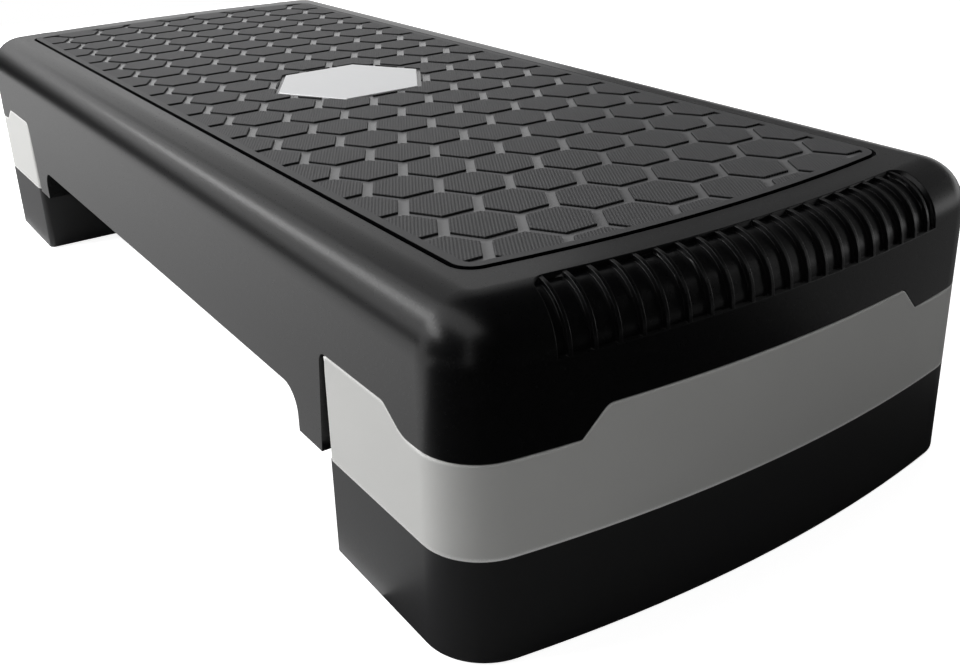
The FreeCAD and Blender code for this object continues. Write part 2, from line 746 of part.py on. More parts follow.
def make_badge():
    """The bare six-sided badge plate at the middle of the mat."""
    body = new_body("badge_plate")
    sketch = new_sketch(body, "badge_outline", level=HEX_FLOOR)
    hexagon(sketch, "0", "0", "(badge_width / 2)")
    pad(body, sketch, "badge_thick")
    dress(body, "Chamfer", "Size", "badge_bevel", lambda box: near(box.ZMin, f"({HEX_FLOOR} + badge_thick)"))
    return body


# End feet, risers and what is fixed in them

def make_foot():
    """An end foot: a ribbed shell whose plug stands inside the deck's skirt and whose band shows below it."""
    outside = stack_block("foot_outside", RISER_TOP, TAB_TOP)
    plug = stack_block("foot_plug", RISER_TOP, PLUG_TOP, PLUG_INSET)
    dress(plug, "Chamfer", "Size", "plug_bevel", lambda box: near(box.ZMin, PLUG_TOP))
    inner_low = f"(stack_start + {flare(f'({RISER_TOP} - overrun)')} - seam_gap)"
    inner_high = f"(stack_start + {flare(SIDE_TAB_TOP)} - seam_gap)"
    band_room = band_space("foot_band_room", "0", inner_low, inner_high, start_round=["tab_round"])
    band = overlap("foot_band", [outside, band_room])
    low_room = stack_block(
        "foot_low_room", f"({RISER_TOP} - overrun)", f"({SKIRT_LOW} - foot_wall)", "foot_wall")
    high_room = stack_block("foot_high_room", RISER_TOP, FOOT_CEILING, f"({PLUG_INSET} + foot_wall)")
    shell = cut("foot_shell", join("foot_solid", [band, plug]), [low_room, high_room])
    rib_root = f"({PLUG_TOP} - foot_wall / 2)"
    ribs = overlap(
        "foot_ribs_inside", [stack_ribs("foot_ribs", FOOT_RIB_LOW, rib_root, "foot_rib_wall"), plug])
    cups, hollows = pad_cups("foot_cup", RISER_TOP, f"({FOOT_RIB_LOW} + cup_lap)")
    holes = [
        rod(f"foot_hole{number}", x, y, f"({FOOT_CEILING} - overrun)", f"({PLUG_TOP} + overrun)",
            "(screw_radius + screw_play)")
        for number, x, y in screw_places()
    ]
    return cut("end_foot", join("foot_moulding", [shell, ribs] + cups), hollows + holes)


def make_riser():
    """A riser: a ribbed box, open below, with a raised crown that stands between the end foot's cups."""
    outside = stack_block("riser_outside", "pad_proud", RISER_TOP)
    room = stack_block("riser_room", "(pad_proud - overrun)", f"({RISER_TOP} - riser_wall)", "riser_wall")
    drawn_in = f"({flare(FOOT_RIB_LOW)} + foot_wall + crown_gap)"
    side = f"(stack_rib_pitch * {SCREW_COUNT / 2} - {CUP_RADIUS} - crown_gap)"
    reach = f"({END_RADIUS} - {drawn_in})"
    start = f"(stack_start + {drawn_in})"
    end = f"({END_CENTRE} + sqrt({reach} * {reach} - {side} * {side}))"
    crown = box(
        "riser_crown",
        (start, f"(-{side})", f"({RISER_TOP} - riser_wall / 2)"),
        (end, side, CROWN_TOP),
    )
    crown_room = box(
        "riser_crown_room",
        (f"({start} + riser_wall)", f"(riser_wall - {side})", f"({RISER_TOP} - riser_wall - overrun)"),
        (f"({end} - riser_wall)", f"({side} - riser_wall)", f"({CROWN_TOP} - riser_wall)"),
    )
    block = join("riser_block", [outside, crown])
    shell = cut("riser_shell", block, [room, crown_room])
    rib_low, rib_root = "(pad_proud + riser_rib_setback)", f"({CROWN_TOP} - riser_wall / 2)"
    ribs = overlap(
        "riser_ribs_inside", [stack_ribs("riser_ribs", rib_low, rib_root, "riser_rib_wall"), block])
    cups, hollows = pad_cups("riser_cup", "pad_proud", "(pad_proud + pad_seat + cup_floor + cup_lap)")
    dimples = [
        rod(f"riser_dimple_{spot}", x, y, f"({RISER_TOP} - pad_proud - seat_gap)", f"({RISER_TOP} + overrun)",
            "(pad_radius + dimple_room)")
        for spot, x, y in pad_places()
    ]
    return cut("riser", join("riser_moulding", [shell, ribs] + cups), hollows + dimples)


def make_pad(name, x, y, low):
    """A round rubber pad, bevelled where it meets the floor."""
    body = new_body(name)
    sketch = new_sketch(body, f"{name}_half", "XZ_Plane")
    thick = "(pad_proud + pad_seat)"
    polygon(sketch, [
        ("0", "0"),
        ("(pad_radius - pad_bevel)", "0"),
        ("pad_radius", "pad_bevel"),
        ("pad_radius", thick),
        ("0", thick),
    ])
    turn = body.newObject("PartDesign::Revolution", f"{name}_turn")
    turn.Profile = sketch
    turn.ReferenceAxis = (sketch, ["V_Axis"])
    for axis, start in zip("xyz", (x, y, low)):
        bind(body, f"Placement.Base.{axis}", start)
    doc.recompute()
    return body


def make_screws():
    """The pan-head screws that hold the right foot up in the deck's bosses."""
    body = new_body("foot_screws")
    sketch = new_sketch(body, "screw_half", "XZ_Plane")
    polygon(sketch, [
        ("0", "-screw_head_height"),
        ("screw_radius", "-screw_head_height"),
        ("screw_head_radius", "-(screw_head_height / 2)"),
        ("screw_head_radius", "0"),
        ("screw_radius", "0"),
        ("screw_radius", "(screw_length - screw_radius)"),
        ("0", "screw_length"),
    ])
    turn = body.newObject("PartDesign::Revolution", "screw_turn")
    turn.Profile = sketch
    turn.ReferenceAxis = (sketch, ["V_Axis"])
    doc.recompute()
    pattern(body, turn, "Y_Axis", "stack_rib_pitch", SCREW_COUNT)
    _, x, y = next(screw_places())
    for axis, start in zip("xyz", (x, y, FOOT_CEILING)):
        bind(body, f"Placement.Base.{axis}", start)
    doc.recompute()
    return body


nodes = {"deck_shell": make_deck(), "tread_mat": make_mat(), "badge_plate": make_badge()}
right_pieces = {"end_foot": make_foot(), "foot_screws": make_screws(), "riser": make_riser()}
for spot, x, y in pad_places():
    right_pieces[f"foot_pad_{spot}"] = make_pad(f"foot_pad_{spot}", x, y, f"({RISER_TOP} - pad_proud)")
    right_pieces[f"riser_pad_{spot}"] = make_pad(f"riser_pad_{spot}", x, y, "0")
for name, piece in right_pieces.items():
    nodes[f"{name}_right"] = piece
    nodes[f"{name}_left"] = at_left(piece)
for label, node in nodes.items():
    node.Label = label
doc.recompute()

for item in doc.Objects:
    if "Invalid" in item.State or "Error" in item.State:
        raise RuntimeError(f"{item.Name} failed: {item.State}")
for label, node in nodes.items():
    if node.Shape.isNull() or not node.Shape.isValid():
        raise RuntimeError(f"{label} has no sound shape")

os.makedirs("parts", exist_ok=True)
for label, node in nodes.items():
    node.Shape.exportStep(os.path.join("parts", f"{label}.step"))
    print(f"{label}: {len(node.Shape.Solids)} solids, {node.Shape.Volume:.0f} mm3")
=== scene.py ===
"""Aerobic step platform: the looks of its pieces, in the order in which it is put together."""
import bmesh
import bpy
import math
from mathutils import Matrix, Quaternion, Vector


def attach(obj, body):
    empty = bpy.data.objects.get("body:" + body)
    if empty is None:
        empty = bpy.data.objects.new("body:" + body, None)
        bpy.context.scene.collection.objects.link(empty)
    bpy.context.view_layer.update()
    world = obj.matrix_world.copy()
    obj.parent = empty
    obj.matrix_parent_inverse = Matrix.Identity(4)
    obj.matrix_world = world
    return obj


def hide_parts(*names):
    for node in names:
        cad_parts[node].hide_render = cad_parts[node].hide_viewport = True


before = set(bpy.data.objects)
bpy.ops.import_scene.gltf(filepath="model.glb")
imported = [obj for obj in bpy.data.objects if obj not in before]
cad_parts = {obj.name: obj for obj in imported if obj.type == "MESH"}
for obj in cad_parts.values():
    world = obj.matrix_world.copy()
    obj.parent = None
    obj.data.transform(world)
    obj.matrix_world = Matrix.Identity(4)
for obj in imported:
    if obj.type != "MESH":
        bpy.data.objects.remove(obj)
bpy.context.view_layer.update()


# Risers
# Two black boxes, open below, that the platform stands on and lifts off from. Each is one injection
# moulding in polypropylene, with a fine spark-eroded grain on its outside.

MM = 0.001
RISER_BLACK = "262627"
# The riser's edge colour is a painted highlight along its edges
RISER_EDGE_HIGHLIGHT = "3a3a3b"
RISER_EDGE_RADIUS = 0.6 * MM
RISER_ROUGHNESS = 0.5

# Polypropylene: its grain and clouds, and how far an edge turns, as a cosine, where it is painted pale as a
# highlight
GRAIN_SIZE = 0.9 * MM
GRAIN_DEPTH = 0.04 * MM
CLOUD_SIZE = 60 * MM
CLOUD_SPREAD = 0.05
GLOSS_SPREAD = 0.05
HIGHLIGHT_START = 0.985
HIGHLIGHT_FULL = 0.9
POLYPROPYLENE_IOR = 1.49
EDGE_SAMPLES = 6

# The outline that the risers, the end feet and the deck share, and the round shoulder above it
END_RADIUS = 707.3 * MM
END_CENTRE = -365.3 * MM
HALF_WIDTH = 142 * MM
CORNER_ROUND = 27.5 * MM
SHOULDER_ROUND = 22 * MM
SHOULDER_LOW = 119 * MM
FLARE_SHARE = 0.02

# How flat a seam between triangles is dissolved, how sharp an edge stays hard, and how near a face lies
# to the outline's own direction where it is shaded by that
WELD_DISTANCE = 0.002 * MM
FLAT_ANGLE = math.radians(0.4)
SHARP_ANGLE = math.radians(30)
SKIN_ANGLE = math.radians(18)


def linear(code):
    """An sRGB hex colour as linear red, green, blue and alpha."""
    shares = [int(code[start:start + 2], 16) / 255 for start in (0, 2, 4)]
    return [s / 12.92 if s <= 0.04045 else ((s + 0.055) / 1.055) ** 2.4 for s in shares] + [1.0]


def add_node(tree, kind, inputs, gives=None, **settings):
    """Adds a node with its settings, sets or links its inputs, and gives back one of its outputs."""
    node = tree.nodes.new(kind)
    for field, setting in settings.items():
        setattr(node, field, setting)
    for name, given in inputs.items():
        if isinstance(name, int):
            socket = node.inputs[name]
        else:
            socket = next(s for s in node.inputs if s.enabled and s.name == name)
        links = given if isinstance(given, list) else [given]
        if isinstance(links[0], bpy.types.NodeSocket):
            for link in links:
                tree.links.new(link, socket)
        else:
            socket.default_value = given
    return next((s for s in node.outputs if s.enabled and gives in (None, s.name)), None)


def new_material(name):
    """A material with an empty node tree."""
    material = bpy.data.materials.new(name)
    material.use_nodes = True
    material.node_tree.nodes.clear()
    return material, material.node_tree


def moulded_polypropylene(name, code, edge_highlight_code, edge_radius, roughness):
    """Injection-moulded polypropylene: an even colour, a fine eroded grain, a broad soft gloss, and
    edges that are a little round and painted pale as a highlight, and so draw a thin light line."""
    material, tree = new_material(name)
    place = add_node(tree, "ShaderNodeTexCoord", {}, "Object")
    grain = add_node(tree, "ShaderNodeTexNoise", {
        "Vector": place, "Scale": 1 / GRAIN_SIZE, "Detail": 3.0, "Roughness": 0.6})
    cloud = add_node(tree, "ShaderNodeTexNoise", {"Vector": place, "Scale": 1 / CLOUD_SIZE, "Detail": 2.0})
    dark = [channel * (1 - CLOUD_SPREAD) for channel in linear(code)[:3]] + [1.0]
    light = [channel * (1 + CLOUD_SPREAD) for channel in linear(code)[:3]] + [1.0]
    colour = add_node(tree, "ShaderNodeMix", {"Factor": cloud, "A": dark, "B": light}, data_type="RGBA")
    gloss = add_node(tree, "ShaderNodeMapRange", {
        "Value": grain, "To Min": roughness - GLOSS_SPREAD, "To Max": roughness + GLOSS_SPREAD})
    edge = add_node(tree, "ShaderNodeBevel", {"Radius": edge_radius}, samples=EDGE_SAMPLES)
    facing = add_node(tree, "ShaderNodeNewGeometry", {}, "Normal")
    turned = add_node(
        tree, "ShaderNodeVectorMath", {0: edge, 1: facing}, "Value", operation="DOT_PRODUCT")
    # Where an edge turns away, its colour is painted pale: a painted highlight along the edge
    painted_edge_highlight = add_node(tree, "ShaderNodeMapRange", {
        "Value": turned, "From Min": HIGHLIGHT_START, "From Max": HIGHLIGHT_FULL})
    painted_light_tone = add_node(tree, "ShaderNodeMix", {
        "Factor": painted_edge_highlight, "A": colour, "B": linear(edge_highlight_code)}, data_type="RGBA")
    bump = add_node(tree, "ShaderNodeBump", {
        "Height": grain, "Strength": 0.5, "Distance": GRAIN_DEPTH, "Normal": edge})
    surface = add_node(tree, "ShaderNodeBsdfPrincipled", {
        "Base Color": painted_light_tone, "Roughness": gloss, "IOR": POLYPROPYLENE_IOR, "Normal": bump})
    add_node(tree, "ShaderNodeOutputMaterial", {"Surface": surface})
    return material


def skin_direction(point):
    """The way that the flared outline and its round shoulder face, at a point on or near them."""
    x, y = abs(point.x), abs(point.y)
    drawn_in = FLARE_SHARE * SHOULDER_LOW + SHOULDER_ROUND
    corner_y = HALF_WIDTH - CORNER_ROUND
    corner_x = END_CENTRE + math.sqrt((END_RADIUS - CORNER_ROUND) ** 2 - corner_y ** 2)
    if x < corner_x:
        across, beyond = Vector((0, 1, 0)), y - HALF_WIDTH + drawn_in
    elif math.atan2(y, x - END_CENTRE) < math.atan2(corner_y, corner_x - END_CENTRE):
        across = Vector((x - END_CENTRE, y, 0))
        beyond = across.length - END_RADIUS + drawn_in
    else:
        across = Vector((x - corner_x, y - corner_y, 0))
        beyond = across.length - CORNER_ROUND + drawn_in
    across.normalize()
    if point.z <= SHOULDER_LOW:
        way = across + Vector((0, 0, FLARE_SHARE))
    else:
        way = across * max(beyond, 0) + Vector((0, 0, point.z - SHOULDER_LOW))
    return Vector((math.copysign(way.x, point.x), math.copysign(way.y, point.y), way.z)).normalized()


def merged(node):
    """The shape of a CAD node with its loose triangles joined into whole faces."""
    shape = bmesh.new()
    shape.from_mesh(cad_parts[node].data)
    bmesh.ops.remove_doubles(shape, verts=shape.verts, dist=WELD_DISTANCE)
    bmesh.ops.dissolve_limit(shape, angle_limit=FLAT_ANGLE, verts=shape.verts, edges=shape.edges)
    return shape


def as_mesh(name, shape):
    """Turns a shape into a mesh, and lets go of the shape."""
    mesh = bpy.data.meshes.new(name)
    shape.to_mesh(mesh)
    shape.free()
    return mesh


def dressed(name, mesh, material, body, node):
    """Turns a mesh into a piece of a body that stands for a CAD node."""
    mesh.shade_smooth()
    mesh.set_sharp_from_angle(angle=SHARP_ANGLE)
    mesh.materials.clear()
    mesh.materials.append(material)
    piece = bpy.data.objects.new(name, mesh)
    bpy.context.scene.collection.objects.link(piece)
    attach(piece, body)
    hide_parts(node)


def moulded(node, material, body):
    """A merged copy of a CAD node, shaded to the true round of its outside."""
    mesh = as_mesh(f"{node}_moulding", merged(node))
    dressed(f"{node}_moulding", mesh, material, body, node)
    ways = [Vector(normal.vector) for normal in mesh.corner_normals]
    skin = [skin_direction(vertex.co) for vertex in mesh.vertices]
    for face in mesh.polygons:
        for loop in face.loop_indices:
            way = skin[mesh.loops[loop].vertex_index]
            if face.normal.dot(way) > math.cos(SKIN_ANGLE):
                ways[loop] = way
    mesh.normals_split_custom_set(ways)


riser_plastic = moulded_polypropylene(
    "black_polypropylene_riser", RISER_BLACK, RISER_EDGE_HIGHLIGHT, RISER_EDGE_RADIUS, RISER_ROUGHNESS)
for end in ("right", "left"):
    moulded(f"riser_{end}", riser_plastic, f"riser_{end}")


# Rubber pads
# Sixteen round pads of soft black rubber, pressed into cups under the risers and the end feet, on
# which the platform stands without sliding.

PAD_BLACK = "1c1c1c"
PAD_SPECKLE_SIZE = 1.2 * MM
PAD_SPECKLE_DEPTH = 0.1 * MM
PAD_SMOOTHEST = 0.65
PAD_ROUGHEST = 0.85
PAD_IOR = 1.52

# Soft rubber: a dull black with a faint speckle, and almost no gloss.
pad_rubber, pad_tree = new_material("black_pad_rubber")
pad_place = add_node(pad_tree, "ShaderNodeTexCoord", {}, "Object")
pad_speckle = add_node(pad_tree, "ShaderNodeTexNoise", {
    "Vector": pad_place, "Scale": 1 / PAD_SPECKLE_SIZE, "Detail": 4.0})
pad_gloss = add_node(pad_tree, "ShaderNodeMapRange", {
    "Value": pad_speckle, "To Min": PAD_SMOOTHEST, "To Max": PAD_ROUGHEST})
pad_bump = add_node(pad_tree, "ShaderNodeBump", {
    "Height": pad_speckle, "Strength": 0.5, "Distance": PAD_SPECKLE_DEPTH})
pad_surface = add_node(pad_tree, "ShaderNodeBsdfPrincipled", {
    "Base Color": linear(PAD_BLACK), "Roughness": pad_gloss, "IOR": PAD_IOR, "Normal": pad_bump})
add_node(pad_tree, "ShaderNodeOutputMaterial", {"Surface": pad_surface})
for node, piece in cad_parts.items():
    if "_pad_" in node:
        piece.data.materials.clear()
        piece.data.materials.append(pad_rubber)


# End feet
# Two grey polypropylene mouldings screwed up into the ends of the deck. A plug inside the skirt holds
# each one, and its band shows below the deck with tabs that stand in the skirt.

FOOT_GREY = "b4b4b2"
# The foot's edge colour is a painted highlight along its edges
FOOT_EDGE_HIGHLIGHT = "f0f0ee"
FOOT_EDGE_RADIUS = 3.0 * MM
FOOT_ROUGHNESS = 0.5

foot_plastic = moulded_polypropylene(
    "grey_polypropylene", FOOT_GREY, FOOT_EDGE_HIGHLIGHT, FOOT_EDGE_RADIUS, FOOT_ROUGHNESS)
for end in ("right", "left"):
    moulded(f"end_foot_{end}", foot_plastic, "deck")


# Foot screws
# Four zinc-plated pan-head screws in each end foot, driven up through its ceiling into the deck's
# bosses. Each head has a cross recess.

SCREW_ZINC = "c9cac6"
SCREW_X = 282 * MM
SCREW_CEILING = 115 * MM
SCREW_PITCH = 52 * MM
SCREW_COUNT = 4
SCREW_RADIUS = 2 * MM
SCREW_LENGTH = 13 * MM
SCREW_STEPS = 24
SCREW_WELD = 0.01 * MM
HEAD_RADIUS = 4 * MM
HEAD_HEIGHT = 2.8 * MM
RECESS_LENGTH = 3.8 * MM
RECESS_WIDTH = 0.9 * MM
RECESS_DEPTH = 1.4 * MM
PLATING_MARK_SIZE = 0.8 * MM
PLATING_SMOOTHEST = 0.25
PLATING_ROUGHEST = 0.5

# Bright zinc plate: a pale metal whose gloss is broken by the marks of the plating barrel.
zinc, zinc_tree = new_material("zinc_plated_steel")
zinc_place = add_node(zinc_tree, "ShaderNodeTexCoord", {}, "Object")
zinc_marks = add_node(zinc_tree, "ShaderNodeTexNoise", {
    "Vector": zinc_place, "Scale": 1 / PLATING_MARK_SIZE, "Detail": 4.0})
zinc_gloss = add_node(zinc_tree, "ShaderNodeMapRange", {
    "Value": zinc_marks, "To Min": PLATING_SMOOTHEST, "To Max": PLATING_ROUGHEST})
zinc_surface = add_node(zinc_tree, "ShaderNodeBsdfPrincipled", {
    "Base Color": linear(SCREW_ZINC), "Metallic": 1.0, "Roughness": zinc_gloss})
add_node(zinc_tree, "ShaderNodeOutputMaterial", {"Surface": zinc_surface})


def new_node_group(name, sockets):
    """A Geometry Nodes tree that takes a mesh and named sizes and gives back a mesh."""
    tree = bpy.data.node_groups.new(name, "GeometryNodeTree")
    tree.interface.new_socket("Geometry", in_out="OUTPUT", socket_type="NodeSocketGeometry")
    for socket, kind in {"Geometry": "NodeSocketGeometry", **sockets}.items():
        tree.interface.new_socket(socket, in_out="INPUT", socket_type=kind)
    return tree, tree.nodes.new("NodeGroupInput").outputs


def boolean(tree, operation, inputs):
    """Joins, cuts or intersects closed meshes."""
    return add_node(tree, "GeometryNodeMeshBoolean", inputs, operation=operation, solver="EXACT")


def finish_tree(tree, shape, material):
    """Gives a shape its material and sends it out of a Geometry Nodes tree."""
    made = add_node(tree, "GeometryNodeSetMaterial", {"Geometry": shape, "Material": material})
    add_node(tree, "NodeGroupOutput", {"Geometry": made})


def grown(name, mesh, tree, settings):
    """A plain mesh made from another by a Geometry Nodes tree with its named inputs set."""
    source = bpy.data.objects.new(f"{name}_source", mesh)
    bpy.context.scene.collection.objects.link(source)
    modifier = source.modifiers.new(name, "NODES")
    modifier.node_group = tree
    for item in tree.interface.items_tree:
        if item.in_out == "INPUT" and item.name in settings:
            modifier[item.identifier] = settings[item.name]
    result = bpy.data.meshes.new_from_object(source.evaluated_get(bpy.context.evaluated_depsgraph_get()))
    bpy.data.objects.remove(source)
    return result


# A row of screws: one screw, with the cross recess cut into its head, set out along a line
screw_tree, screw_in = new_node_group("screw_row", {
    "Count": "NodeSocketInt", "Pitch": "NodeSocketFloat", "Recess Size": "NodeSocketVector",
    "Recess Level": "NodeSocketFloat", "Start": "NodeSocketVector", "Material": "NodeSocketMaterial"})
bar = add_node(screw_tree, "GeometryNodeMeshCube", {"Size": screw_in["Recess Size"]}, "Mesh")
cross_bar = add_node(screw_tree, "GeometryNodeTransform", {
    "Geometry": bar, "Rotation": (0, 0, math.pi / 2)})
recess_cross = boolean(screw_tree, "UNION", {1: [bar, cross_bar]})
recess_place = add_node(screw_tree, "ShaderNodeCombineXYZ", {"Z": screw_in["Recess Level"]})
recess = add_node(screw_tree, "GeometryNodeTransform", {
    "Geometry": recess_cross, "Translation": recess_place})
screw_shape = boolean(screw_tree, "DIFFERENCE", {"Mesh 1": screw_in["Geometry"], "Mesh 2": recess})
screw_step = add_node(screw_tree, "ShaderNodeCombineXYZ", {"Y": screw_in["Pitch"]})
screw_line = add_node(screw_tree, "GeometryNodeMeshLine", {
    "Count": screw_in["Count"], "Start Location": screw_in["Start"], "Offset": screw_step})
screw_set = add_node(screw_tree, "GeometryNodeInstanceOnPoints", {
    "Points": screw_line, "Instance": screw_shape})
screw_real = add_node(screw_tree, "GeometryNodeRealizeInstances", {"Geometry": screw_set})
finish_tree(screw_tree, screw_real, screw_in["Material"])

# Half the outline of a screw, from the middle of its head's underside, round the head, up to its tip
screw_half = [
    (0, -HEAD_HEIGHT),
    (0.55 * HEAD_RADIUS, -HEAD_HEIGHT),
    (0.85 * HEAD_RADIUS, -0.8 * HEAD_HEIGHT),
    (HEAD_RADIUS, -0.4 * HEAD_HEIGHT),
    (HEAD_RADIUS, 0),
    (SCREW_RADIUS, 0),
    (SCREW_RADIUS, SCREW_LENGTH - SCREW_RADIUS),
    (0, SCREW_LENGTH),
]
for end, sign in (("right", 1), ("left", -1)):
    shape = bmesh.new()
    points = [shape.verts.new((radius, 0, level)) for radius, level in screw_half]
    lines = [shape.edges.new(pair) for pair in zip(points, points[1:])]
    bmesh.ops.spin(
        shape, geom=points + lines, cent=(0, 0, 0), axis=(0, 0, 1), angle=2 * math.pi, steps=SCREW_STEPS)
    bmesh.ops.remove_doubles(shape, verts=shape.verts, dist=SCREW_WELD)
    bmesh.ops.recalc_face_normals(shape, faces=shape.faces)
    row = grown("screw_row", as_mesh("one_screw", shape), screw_tree, {
        "Count": SCREW_COUNT,
        "Pitch": SCREW_PITCH,
        "Recess Size": (RECESS_LENGTH, RECESS_WIDTH, 2 * RECESS_DEPTH),
        "Recess Level": -HEAD_HEIGHT,
        "Start": (sign * SCREW_X, -SCREW_PITCH * (SCREW_COUNT - 1) / 2, SCREW_CEILING),
        "Material": zinc,
    })
    dressed(f"foot_screws_{end}_driven", row, zinc, "deck", f"foot_screws_{end}")


# Deck shell
# The large black moulding: a thin polypropylene shell with a round shoulder, four legs and a ribbed
# underside. A shallow ribbed recess in each end's shoulder gives the fingers a hold.

DECK_BLACK = "0d0d0e"
# The deck's edge colour is a painted highlight along its edges
DECK_EDGE_HIGHLIGHT = "141415"
DECK_EDGE_RADIUS = 0.5 * MM
DECK_ROUGHNESS = 0.29

deck_plastic = moulded_polypropylene(
    "black_polypropylene_deck", DECK_BLACK, DECK_EDGE_HIGHLIGHT, DECK_EDGE_RADIUS, DECK_ROUGHNESS)
moulded("deck_shell", deck_plastic, "deck")


# Tread mat
# A sheet of dark tread rubber, moulded with a raised rim and raised six-sided pads and laid in the
# deck's recess. The pads are cross-hatched for grip, and the grooves are smooth from the mould.

PAD_DARK = "3c3c3d"
PAD_LIGHT = "464647"
GROOVE_DARK = "6a6a6b"
GROOVE_LIGHT = "727273"
# The colour of the tread rubber's steep sides is painted shade
PAINTED_SIDE_SHADE = "060607"
GROOVE_ROUGHNESS = 0.24
RIM_ROUGHNESS = 0.5
PAD_ROUGHNESS = 0.55
TREAD_GLOSS_SPREAD = 0.04
TREAD_SPECKLE_SIZE = 1.5 * MM
TREAD_EDGE_RADIUS = 0.25 * MM
TREAD_IOR = 1.5
HATCH_PITCH = 1.4 * MM
HATCH_DEPTH = 0.12 * MM
HATCH_STRENGTH = 0.45
HATCH_TURNS = (math.radians(60), math.radians(120))
# How far up a face looks where it counts as a steep side, painted in full shade, and where it counts as level
# and keeps its own tone
SHADED_SIDE_UPWARD = 0.3
LEVEL_UPWARD = 0.9
MAT_LOW = 137 * MM
MAT_RIM = 4 * MM
HEX_CORNERS = 6
HEX_TURN = (0, 0, math.pi / 6)
HEX_FLOOR = 140.5 * MM
HEX_HEIGHT = 1 * MM
HEX_CHAMFER = 0.2 * MM
HEX_PITCH = 30.3 * MM
HEX_GROOVE = 4.5 * MM
HEX_COLUMNS = 21
HEX_ROWS = 5
BADGE_WIDTH = 80 * MM
CLEARING_HEIGHT = 1.0


def maths(tree, operation, *numbers):
    """One step of arithmetic on the numbers of a node tree."""
    return add_node(tree, "ShaderNodeMath", dict(enumerate(numbers)), operation=operation)


def tread_rubber(name, dark, light, roughness, hatch_depth):
    """Tread rubber: dark with a faint speckle, dull where it is cross-hatched, bright at a low angle
    where it is smooth, and painted darkest on the steep sides as painted shade."""
    material, tree = new_material(name)
    place = add_node(tree, "ShaderNodeTexCoord", {}, "Object")
    waves = []
    for turn in HATCH_TURNS:
        across = Vector((math.cos(turn), math.sin(turn), 0)) * (2 * math.pi / HATCH_PITCH)
        phase = add_node(
            tree, "ShaderNodeVectorMath", {0: place, 1: across}, "Value", operation="DOT_PRODUCT")
        waves.append(maths(tree, "SINE", phase))
    hatch = maths(tree, "ADD", *waves)
    speckle = add_node(tree, "ShaderNodeTexNoise", {
        "Vector": place, "Scale": 1 / TREAD_SPECKLE_SIZE, "Detail": 3.0})
    tone = add_node(tree, "ShaderNodeMix", {
        "Factor": speckle, "A": linear(dark), "B": linear(light)}, data_type="RGBA")
    facing = add_node(tree, "ShaderNodeNewGeometry", {}, "True Normal")
    upward = add_node(tree, "ShaderNodeSeparateXYZ", {"Vector": facing}, "Z")
    # Steep sides are painted near black: painted shade where the pads' walls fall in shadow
    level = add_node(tree, "ShaderNodeMapRange", {
        "Value": upward, "From Min": SHADED_SIDE_UPWARD, "From Max": LEVEL_UPWARD})
    painted_light_tone = add_node(tree, "ShaderNodeMix", {
        "Factor": level, "A": linear(PAINTED_SIDE_SHADE), "B": tone}, data_type="RGBA")
    gloss = add_node(tree, "ShaderNodeMapRange", {
        "Value": speckle, "To Min": roughness - TREAD_GLOSS_SPREAD, "To Max": roughness + TREAD_GLOSS_SPREAD})
    edge = add_node(tree, "ShaderNodeBevel", {"Radius": TREAD_EDGE_RADIUS}, samples=EDGE_SAMPLES)
    bump = add_node(tree, "ShaderNodeBump", {
        "Height": hatch, "Strength": HATCH_STRENGTH, "Distance": hatch_depth, "Normal": edge})
    surface = add_node(tree, "ShaderNodeBsdfPrincipled", {
        "Base Color": painted_light_tone, "Roughness": gloss, "IOR": TREAD_IOR, "Normal": bump})
    add_node(tree, "ShaderNodeOutputMaterial", {"Surface": surface})
    return material


groove_rubber = tread_rubber("smooth_tread_rubber", GROOVE_DARK, GROOVE_LIGHT, GROOVE_ROUGHNESS, 0)
rim_rubber = tread_rubber("plain_tread_rubber", PAD_DARK, PAD_LIGHT, RIM_ROUGHNESS, 0)
pad_tread = tread_rubber("hatched_tread_rubber", PAD_DARK, PAD_LIGHT, PAD_ROUGHNESS, HATCH_DEPTH)

# The field of pads: one chamfered six-sided pad on every point of two grids that interleave, cut off by
# the block that comes in and cleared round the badge
hex_tree, hex_in = new_node_group("tread_pads", {
    "Pitch": "NodeSocketFloat", "Groove": "NodeSocketFloat", "Height": "NodeSocketFloat",
    "Chamfer": "NodeSocketFloat", "Level": "NodeSocketFloat", "Columns": "NodeSocketInt",
    "Rows": "NodeSocketInt", "Clearing": "NodeSocketFloat", "Material": "NodeSocketMaterial"})
hex_width = maths(hex_tree, "SUBTRACT", hex_in["Pitch"], hex_in["Groove"])
hex_radius = maths(hex_tree, "DIVIDE", hex_width, math.sqrt(3))
hex_side = maths(hex_tree, "SUBTRACT", hex_in["Height"], hex_in["Chamfer"])
hex_depth = maths(hex_tree, "MULTIPLY", hex_side, 2.0)
hex_block = hex_tree.nodes.new("GeometryNodeMeshCylinder")
hex_block.inputs["Vertices"].default_value = HEX_CORNERS
hex_tree.links.new(hex_radius, hex_block.inputs["Radius"])
hex_tree.links.new(hex_depth, hex_block.inputs["Depth"])
hex_raised = hex_tree.nodes.new("GeometryNodeExtrudeMesh")
hex_tree.links.new(hex_block.outputs["Mesh"], hex_raised.inputs["Mesh"])
hex_tree.links.new(hex_block.outputs["Top"], hex_raised.inputs["Selection"])
hex_tree.links.new(hex_in["Chamfer"], hex_raised.inputs["Offset Scale"])
hex_loss = maths(hex_tree, "DIVIDE", hex_in["Chamfer"], hex_width)
hex_share = maths(hex_tree, "MULTIPLY_ADD", hex_loss, -2.0, 1.0)
hex_pad = add_node(hex_tree, "GeometryNodeScaleElements", {
    "Geometry": hex_raised.outputs["Mesh"], "Selection": hex_raised.outputs["Top"], "Scale": hex_share})
row_pitch = maths(hex_tree, "MULTIPLY", hex_in["Pitch"], math.sqrt(3))
lattice = []
